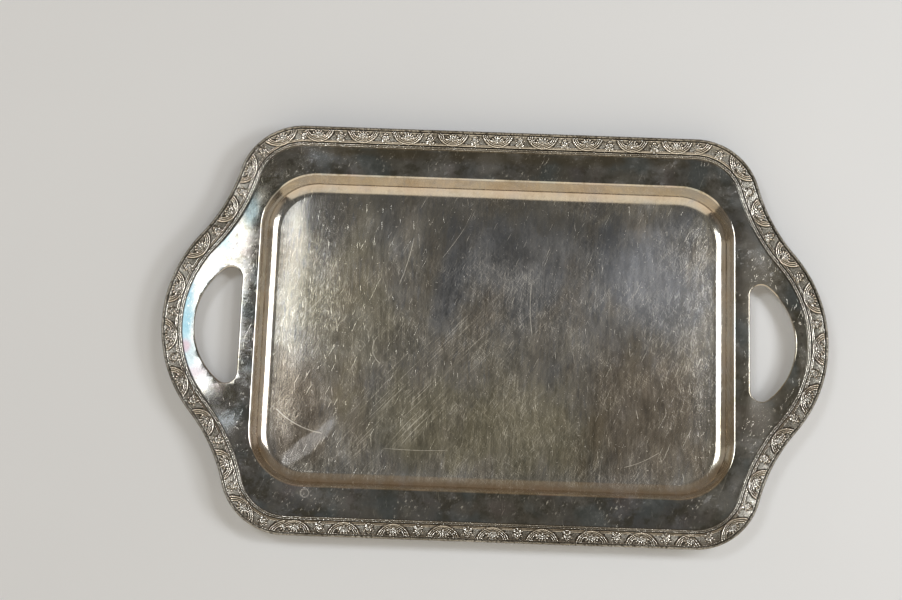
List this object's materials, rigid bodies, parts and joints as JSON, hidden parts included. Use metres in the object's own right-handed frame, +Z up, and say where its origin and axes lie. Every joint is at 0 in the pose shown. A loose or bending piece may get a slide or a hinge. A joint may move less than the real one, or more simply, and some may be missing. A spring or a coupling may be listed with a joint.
{
  "type": "serving tray",
  "caption": "Rectangular metal serving tray with a sunk well, hollow-necked round ends, D-shaped finger slots and a struck ornamental border along its edge.",
  "frame": {"origin": "middle of the flat floor's underside, where the tray rests", "axes": "+X from handle to handle, to the right; +Y towards the back long side; +Z up, out of the well"},
  "size_m": [0.56, 0.35, 0.0255],
  "materials": {
    "plate_sheet": "silver plate on copper, worn mirror polish with tarnish",
    "border_metal": "silver plated struck relief with dark oxide in its recesses",
    "solder": "dull soft solder"
  },
  "bodies": {
    "root": {"tray_body": "plate_sheet", "border_back": "border_metal", "border_front": "border_metal", "border_left": "border_metal", "border_right": "border_metal", "solder_back": "solder", "solder_front": "solder", "solder_left": "solder", "solder_right": "solder"}
  },
  "joints": []
}
